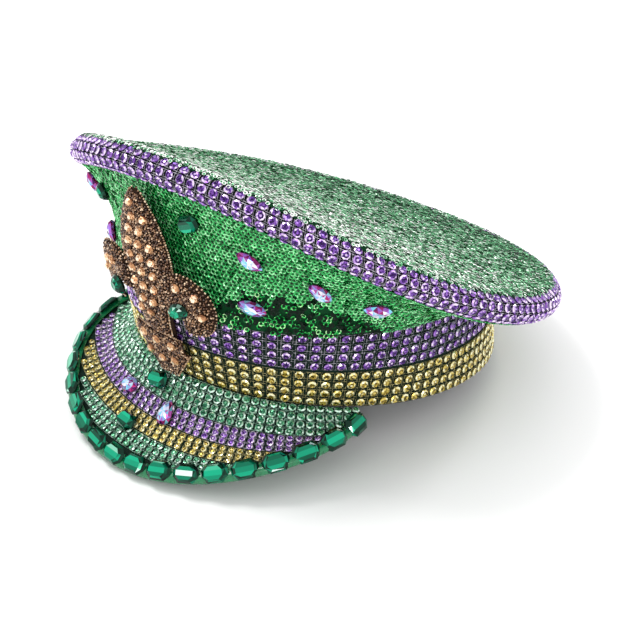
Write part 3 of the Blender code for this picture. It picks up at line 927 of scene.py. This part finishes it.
def side_spots(start, end):
    """(angle, share) of the sequins of one half, in rows a step apart up from the band."""
    for row in range(SIDE_ROWS):
        distance = 0.3 + row * SEQUIN_ROW
        reach = min(distance / 45.0, 1.0)
        angles = spaced_angles(
            lambda a: band_point(a, 50.0).lerp(roll_point(a, -pi / 2, 8.0), reach),
            start, end, SEQUIN_COLUMN, 360,
        )
        for angle in angles:
            angle += (row % 2) * 0.5 * SEQUIN_COLUMN / 110.0 + dice.gauss(0.0, 0.0015)
            share = (distance + dice.gauss(0.0, 0.15)) / side_length(angle)
            if share <= 1.0 + SIDE_WRAP:
                yield angle, share


def in_open_patch(angle, share):
    """Whether a sequin is in the patch over the band where they hang loose; its upper edge is ragged."""
    swell = sin(pi * (angle - PATCH_START) / PATCH_SPAN)
    top = PATCH_TOP * max(swell, 0.0) ** 0.6
    return 0.0 < angle - PATCH_START < PATCH_SPAN and share < top + dice.gauss(0.0, 0.03)


def build_sides():
    sequin = cup_sequin(9)
    bits = {half: ([], []) for half in (*HALVES, "open")}
    for half, (start, end) in HALVES.items():
        for angle, share in side_spots(start, end):
            loose = in_open_patch(angle, share)
            if loose and dice.random() < PATCH_GAPS:
                continue
            point, turn = frame_on(crown_side, angle, share, out_under)
            swing = 0.2 if loose else 0.05
            lean = (0.16 + dice.gauss(0.0, swing), dice.gauss(0.0, swing))
            size = SEQUIN * dice.uniform(0.96, 1.04)
            lift = 0.7 + dice.uniform(0.0, 0.1)
            spot = placed(point, turn, size, lift, dice.uniform(0, 6.28), lean)
            places, shifts = bits["open" if loose else half]
            places.append(spot)
            shifts.append(dice.choice(PATCH_TONES) if loose else dice.gauss(0.06, 0.12))
    places, shifts = bits["open"]
    name = "crown_side_open_sequins"
    loose_bits = scatter(name, sequin, places, PATCH_SEQUINS, shifts=shifts)
    for half, (start, end) in HALVES.items():
        name = f"crown_side_{half}"
        places, shifts = bits[half]
        trim = [scatter(f"{name}_sequins", sequin, places, SIDE_SEQUINS, shifts=shifts)]
        if half == "left":
            trim.append(loose_bits)

        def ground(u, v, start=start, end=end):
            return crown_side(start + (end - start) * u, 1.5 * v)

        base = cloth(f"{name}_cloth", ground, 110, 16, 0.6, BASE_CLOTH, out_flat, [name])


def build_top():
    sequin = cup_sequin(6)
    bits = {"front": ([], []), "back": ([], [])}
    reach = RIM_RADIUS + 3.0
    rows = int(2 * reach / TOP_ROW)
    columns = int(2 * reach / TOP_COLUMN)
    for row in range(rows + 1):
        for column in range(columns + 1):
            x = -reach + (column + 0.5 * (row % 2)) * TOP_COLUMN + dice.gauss(0.0, 0.25)
            y = -reach + row * TOP_ROW + dice.gauss(0.0, 0.25)
            if x * x + y * y > reach * reach:
                continue
            point, turn = frame_on(crown_top, x, y, out_up, (0.5, 0.5))
            lean = (0.1 + dice.gauss(0.0, 0.1), dice.gauss(0.0, 0.1))
            size = TOP_SEQUIN * dice.uniform(0.92, 1.06)
            lift = 0.3 + dice.uniform(0.0, 0.4)
            spot = placed(point, turn, size, lift, dice.uniform(0, 6.28), lean)
            places, shifts = bits["front" if y < 0 else "back"]
            places.append(spot)
            # Random shift about a painted gradient of light, brighter towards the front of the top.
            shifts.append(dice.gauss(0.07 - 0.34 * y / RIM_RADIUS, 0.22))
    trim = [
        scatter(f"crown_top_{half}_sequins", sequin, places, TOP_SEQUINS, shifts=shifts)
        for half, (places, shifts) in bits.items()
    ]

    def ground(u, v):
        angle = -pi + 2 * pi * u
        if v > 0.97:
            return roll_point(angle, radians(70), TOP_LIFT - 0.4)
        reach = RIM_RADIUS * min(v / 0.94, 1.0)
        return crown_top(reach * sin(angle), -reach * cos(angle))

    nodes = ["crown_top_panel"]
    base = cloth("crown_top_cloth", ground, 160, 18, 0.6, BASE_CLOTH, out_up, nodes)

    def lining(u, v):
        angle = -pi + 2 * pi * u
        row = v * 24
        if row <= 12:
            return side_point(angle, 0.05 + 0.62 * row / 12, LINING_GAP)
        share = 0.84 * (24 - row) / 12
        reach = RIM_RADIUS * share
        height = rim_height(angle, share) + TOP_LIFT - LINING_GAP
        return Vector((reach * sin(angle), RIM_CENTRE_Y - reach * cos(angle), height))

    nodes = ["crown_lining"]
    inside = cloth("crown_lining_cloth", lining, 120, 24, 0.5, LINING, out_flat, nodes)


# ---------------- visor


# The edge tape's section, folded over the board's edge: (distance past the edge, lift off the board)
TAPE_FOLD = (
    (-5.5, 1.5), (-3.5, 1.75), (-1.0, 1.6), (0.4, 1.1), (1.1, 0.2),
    (1.35, -1.0), (1.1, -2.2), (0.4, -3.0), (-1.0, -3.4), (-5.5, -3.2),
)


def visor_angle(u):
    return VISOR_END_ANGLE * (2 * u - 1)


def visor_strip(name, start, stop, rows, colour):
    middle = 0.5 * (start + stop)
    pitch = (stop - start) / rows

    def face(angle, down):
        return visor_point(angle, down, VISOR_COVER_LIFT + VISOR_STRIP_LIFT)

    def keep(angle, down):
        return abs(angle) < VISOR_END_ANGLE and visor_length(angle) - STONE_BELT > down - 1.4

    columns = spaced_angles(
        lambda a: visor_point(a, middle, VISOR_COVER_LIFT),
        -VISOR_END_ANGLE, VISOR_END_ANGLE, VISOR_COLUMN_PITCH, 360,
    )
    heights = [start + pitch * (k + 0.5) for k in range(rows)]
    # The visor stones' painted highlights are shifted brighter.
    return stone_mesh(
        f"visor_{name}", face, out_up, columns, heights, pitch * 1.04, colour,
        [f"visor_strip_{name}"], keep, 0.42, 0.14, shift=0.13,
    )


def build_visor():
    trim = []
    for name, strip in STRIPS.items():
        trim += visor_strip(name, *strip)

    def sheet_at(lift):
        def surface(u, v):
            angle = visor_angle(u)
            return visor_point(angle, -3.0 + (max(visor_length(angle) - 1.8, -1.5) + 3.0) * v, lift)

        return surface

    top, under = sheet_at(VISOR_COVER_LIFT), sheet_at(-VISOR_LINING_DEPTH)
    cover = cloth("visor_cover_cloth", top, 120, 14, 0.5, BAND_CLOTH, out_up, ["visor_cover"])
    lining = cloth("visor_lining_cloth", under, 120, 14, 0.5, SATIN, out_up, ["visor_lining"])
    last = len(TAPE_FOLD) - 1

    def tape(u, v):
        angle = visor_angle(u)
        out, lift = TAPE_FOLD[round(v * last)]
        return visor_point(angle, visor_length(angle) + out, lift)

    nodes = ["visor_binding"]
    edging = cloth("visor_binding_tape", tape, 140, last, 0.5, SATIN, out_up, nodes)


# ---------------- cut stones


def single_stone(name, template, matrix, colour, node):
    return scatter(name, template, [matrix], STONES[colour], [node])


def build_edge_stones():
    """The step-cut stones at an even spacing along the visor's edge."""
    angles = [VISOR_END_ANGLE * (i / 200 - 1) for i in range(401)]
    path = [visor_point(a, max(visor_length(a) - EDGE_STONE_INSET, 2.0)) for a in angles]
    travelled = distances(path)
    spacing = travelled[-1] / EDGE_STONES
    for i in range(EDGE_STONES):
        wanted = spacing * (i + 0.5)
        near = min(range(len(path)), key=lambda k: abs(travelled[k] - wanted))
        along = (path[min(near + 6, len(path) - 1)] - path[max(near - 6, 0)]).normalized()
        _foot, out = visor_frame(angles[near])
        normal = out * sin(EDGE_STONE_TILT) + Vector((0.0, 0.0, cos(EDGE_STONE_TILT)))
        side = normal.cross(along).normalized()
        turn = Matrix((along, side, along.cross(side).normalized())).transposed()
        lean = (dice.gauss(0.0, 0.05), dice.gauss(0.0, 0.05))
        matrix = placed(path[near], turn, 1.0, EDGE_STONE_LIFT, dice.gauss(0.0, 0.04), lean)
        name = f"edge_stone_{i + 1:02d}"
        template = PALE_EDGE_STONE if i in PALE_EDGE_STONES else EDGE_STONE
        single_stone(name, template, matrix, "emerald", f"visor_{name}")


def crown_face(angle, share):
    point = side_point(angle, share)
    beyond = side_point(angle, share, -1.0) - point
    return point + beyond.normalized() * CROWN_STONE_LIFT


def visor_face(angle, down):
    return visor_point(angle, down, VISOR_COVER_LIFT + VISOR_STONE_LIFT)


def gem_seat(across, height):
    return fleur_point(across, height, GEM_LIFT)


def build_set_stones():
    octagon = cut_stone(octagon_outline(12.5, 9.2, 2.5), 4.4, STEP_LEVELS)
    oval = cut_stone(curved_outline(12.0, 9.0, "oval"), 4.4, CURVED_LEVELS)
    navette = cut_stone(curved_outline(15.5, 8.0, "navette"), 4.2, CURVED_LEVELS)
    teardrop = cut_stone(curved_outline(14.0, 9.5, "teardrop"), 4.2, CURVED_LEVELS)
    # node, template, colour, surface and the place on it, spin
    stones = [
        ("visor_stone_upper", octagon, "emerald", visor_face, radians(-2), 7.0, 0.2),
        ("visor_stone_lower", octagon, "emerald", visor_face, radians(-4), 34.0, 0.0),
        ("visor_stone_right", oval, "aurora", visor_face, radians(-11.5), 18.5, 0.3),
        ("visor_stone_left", teardrop, "aurora", visor_face, radians(6), 19.5, 1.6),
        ("fleur_gem_left", oval, "emerald", gem_seat, 26.0, 55.0, 0.3),
        ("fleur_gem_right", oval, "emerald", gem_seat, -22.0, 51.5, -0.3),
        ("crown_stone_right_green", oval, "emerald", crown_face, radians(-38), 0.72, 0.9),
        ("crown_stone_right_high", navette, "aurora", crown_face, radians(-48), 0.78, 1.2),
        ("crown_stone_right_low", navette, "aurora", crown_face, radians(-46), 0.2, 1.2),
        ("crown_stone_left_green", octagon, "emerald", crown_face, radians(3), 0.755, 0.5),
        ("crown_stone_left_front", navette, "aurora", crown_face, radians(20.5), 0.63, -0.3),
        ("crown_stone_left_middle", navette, "aurora", crown_face, radians(40), 0.55, -0.45),
        ("crown_stone_left_low", navette, "aurora", crown_face, radians(24), 0.2, -0.1),
        ("crown_stone_left_back", navette, "aurora", crown_face, radians(56.5), 0.48, 0.1),
    ]
    for node, template, colour, surface, a, b, spin in stones:
        point, turn = frame_on(surface, a, b, lambda p: Vector((p.x, p.y, 60.0)))
        single_stone(f"{node}_cut", template, placed(point, turn, spin=spin), colour, node)


# ---------------- fleur-de-lis


def petal_width(v):
    """Half the centre petal's width: from its foot out to its widest place, then in to its tip."""
    if v < FLEUR_WIDEST:
        return 10.5 + 9.5 * smooth_step(v / FLEUR_WIDEST) ** 1.3
    return 1.5 + 18.5 * max(cos(0.5 * pi * (v - FLEUR_WIDEST) / (1.0 - FLEUR_WIDEST)), 0.0) ** 0.8


def curl(side):
    """The spine of a side petal, which curls outwards and down on an arc."""

    def spine(v):
        turn = radians(195 - 290 * v)
        return side * (28.5 + 9.0 * cos(turn)), 57.0 + 9.0 * sin(turn)

    return spine


# Each leaf's spine, half width, lift, crown of its padding and length
LEAVES = {
    "fleur_centre_petal": (lambda v: (0.0, 31.0 + 82.0 * v), petal_width, 3.9, 2.6, 84.0),
    "fleur_left_petal": (curl(1.0), lambda v: 8.8 - 0.8 * v, 5.8, 2.0, 50.0),
    "fleur_right_petal": (curl(-1.0), lambda v: 8.8 - 0.8 * v, 5.8, 2.0, 50.0),
    "fleur_cross_band": (lambda v: (-17.5 + 35.0 * v, 25.0), lambda v: 5.2, 4.4, 1.8, 35.0),
    "fleur_tail": (lambda v: (0.0, 20.5 - 18.5 * v), lambda v: 19.5 - 13.0 * v, 3.9, 1.5, 19.0),
}


def leaf_surface(spine, half_width, lift, crown):
    """A padded leaf: u runs across it and v along its spine, highest in the middle."""

    def surface(u, v):
        v_safe = within(v)
        x, height = spine(v_safe)
        x_after, height_after = spine(v_safe + 0.01)
        run = Vector((x_after - x, height_after - height)).normalized()
        across = half_width(v_safe) * (2.0 * u - 1.0)
        rise = crown * sqrt(max(1.0 - (2.0 * u - 1.0) ** 2, 0.0))
        return fleur_point(x + run.y * across, height - run.x * across, lift - crown + rise)

    return surface


CURL_SPOTS = ((0.4, 0.3), (0.4, 0.5), (0.4, 0.7))
PEACH_SPOTS = {
    "fleur_left_petal": CURL_SPOTS,
    "fleur_right_petal": CURL_SPOTS,
    "fleur_cross_band": ((0.5, 0.2), (0.5, 0.5), (0.5, 0.8)),
    "fleur_tail": ((0.5, 0.45), (0.2, 0.35), (0.8, 0.35)),
}


def bead_leaf(name, surface, half_width, length, bead):
    """Seed beads all over a leaf, with a row of paler ones along each side."""
    fill, edge = [], []
    rows = int(length / BEAD_PITCH)
    for j in range(rows + 1):
        v = j / rows
        columns = max(int(2 * half_width(v) / BEAD_PITCH), 2)
        for i in range(columns + 1):
            u = i / columns
            off_u, off_v = dice.gauss(0.0, 0.25 / columns), dice.gauss(0.0, 0.25 / rows)
            at_edge = i in (0, columns)
            point = surface(u, v) if at_edge else surface(within(u + off_u), within(v + off_v))
            spin = Euler((dice.uniform(0, 6.28), dice.uniform(0, 6.28), 0.0)).to_matrix().to_4x4()
            size = BEAD * dice.uniform(0.85, 1.15)
            lift = out_flat(point).normalized() * dice.uniform(0.3, 0.7)
            spot = Matrix.Translation(point + lift) @ spin @ Matrix.Scale(size, 4)
            (edge if at_edge else fill).append(spot)
    scatter(f"{name}_beads", bead, fill, BEADS, smooth=True)
    scatter(f"{name}_edge_beads", bead, edge, EDGE_BEADS, smooth=True)


def peach_seats(leaves):
    """(surface, u, v) of the larger stones: rows up the centre petal and three on each other leaf."""
    seats = []
    for k, count in enumerate(PEACH_ROWS):
        v = 0.9 - 0.092 * k
        for i in range(count):
            across = (i - (count - 1) / 2) * 8.0 + (2.0 if k % 2 else -2.0) * (count < 3)
            seats.append((leaves["fleur_centre_petal"], 0.5 + 0.5 * across / petal_width(v), v))
    for name, spots in PEACH_SPOTS.items():
        seats += [(leaves[name], u, v) for u, v in spots]
    return seats


def build_fleur():
    bead = seed_bead()
    leaves = {name: leaf_surface(*leaf[:4]) for name, leaf in LEAVES.items()}
    for name, (_spine, half_width, _lift, _crown, length) in LEAVES.items():
        leaf = leaves[name]
        width = 2 * half_width(0.5)
        relief = cloth(f"{name}_felt", leaf, 12, 26, 1.0, FLEUR_CLOTH, out_flat, [name])
        bead_leaf(name, leaf, half_width, length, bead)
    places = []
    for surface, u, v in peach_seats(leaves):
        point, turn = frame_on(surface, u, v, out_flat, (0.01, 0.01))
        spin = dice.uniform(0, 0.8)
        places.append(placed(point, turn, PEACH_STONE, 0.2, spin, (dice.gauss(0, 0.1), dice.gauss(0, 0.1))))
    nugget = cut_stone(curved_outline(1.1, 1.0, "oval", 7), 0.5, CURVED_LEVELS, (0.75, 1.05))
    scatter("fleur_peach_stones", nugget, places, STONES["peach"])


# ---------------- carried-over nodes


def dress_nodes():
    looks = {
        "band_stiffener": BOARD,
        "front_stay": BOARD,
        "visor_board": BOARD,
        "rim_roll": FOAM,
        "rim_wire_hoop": WIRE,
        "fleur_backing": FLEUR_CLOTH,
    }
    for node, material in looks.items():
        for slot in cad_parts[node].material_slots:
            slot.material = material


# ---------------- camera, light and floor

# The camera looks at a point AIM_LEFT and AIM_UP of the cap's origin in its own view
CAMERA_AZIMUTH = radians(34.2)
CAMERA_ELEVATION = radians(22.9)
CAMERA_ROLL = radians(8.155)
CAMERA_DISTANCE = 1635.0
CAMERA_LENS = 177.416
AIM_LEFT = 3.478
AIM_UP = 10.863

# The studio, in metres and watts
LIGHT_TARGET = Vector((0.0, 0.0, 0.07))
FLOOR_SIDE = 8.0
# Each lamp's place, size and power
LIGHTS = {
    "key": ((-0.7, -0.3, 1.5), 0.6, 13.0),
    "fill": ((1.4, -1.2, 0.9), 0.5, 7.0),
    "back": ((0.2, 1.5, 1.2), 0.5, 9.0),
}


def add_camera():
    level = Vector((cos(CAMERA_AZIMUTH), sin(CAMERA_AZIMUTH), 0.0))
    outward = Vector((sin(CAMERA_AZIMUTH), -cos(CAMERA_AZIMUTH), 0.0))
    back = outward * cos(CAMERA_ELEVATION) + Vector((0.0, 0.0, sin(CAMERA_ELEVATION)))
    upright = back.cross(level)
    right = level * cos(CAMERA_ROLL) + upright * sin(CAMERA_ROLL)
    up = -level * sin(CAMERA_ROLL) + upright * cos(CAMERA_ROLL)
    target = up * AIM_UP - right * AIM_LEFT
    pose = Matrix((right, up, back)).transposed().to_4x4()
    pose.translation = (target + back * CAMERA_DISTANCE) * MM
    data = bpy.data.cameras.new("camera")
    data.lens = CAMERA_LENS
    data.clip_start = 0.05
    data.clip_end = 20.0
    camera = add_object("camera", data)
    camera.matrix_world = REST @ pose
    bpy.context.scene.camera = camera


def add_light(name, place, size, power):
    data = bpy.data.lights.new(name, "AREA")
    data.size = size
    data.energy = power
    lamp = add_object(name, data)
    lamp.location = place
    lamp.rotation_euler = (Vector(place) - LIGHT_TARGET).to_track_quat("Z", "Y").to_euler()


def add_floor():
    mesh = bpy.data.meshes.new("studio_floor")
    half = FLOOR_SIDE / 2
    corners = [(-half, -half, 0.0), (half, -half, 0.0), (half, half, 0.0), (-half, half, 0.0)]
    mesh.from_pydata(corners, [], [(0, 1, 2, 3)])
    floor = add_object("studio_floor", mesh)
    mesh.materials.append(plain_material("studio_white", 0.9, 0.0, grain=2.0, bump=0.0))


def add_stage():
    add_floor()
    bpy.context.scene.view_settings.view_transform = "Standard"
    world = bpy.data.worlds.new("studio")
    bpy.context.scene.world = world
    world.use_nodes = True
    set_inputs(world.node_tree.nodes["Background"], {"Color": (1.0, 1.0, 1.0, 1.0), "Strength": 1.0})
    for name, light in LIGHTS.items():
        add_light(name, *light)


# ---------------- build

add_camera()
add_stage()
build_band()
build_rim()
build_sides()
build_top()
build_visor()
build_edge_stones()
build_set_stones()
build_fleur()
dress_nodes()
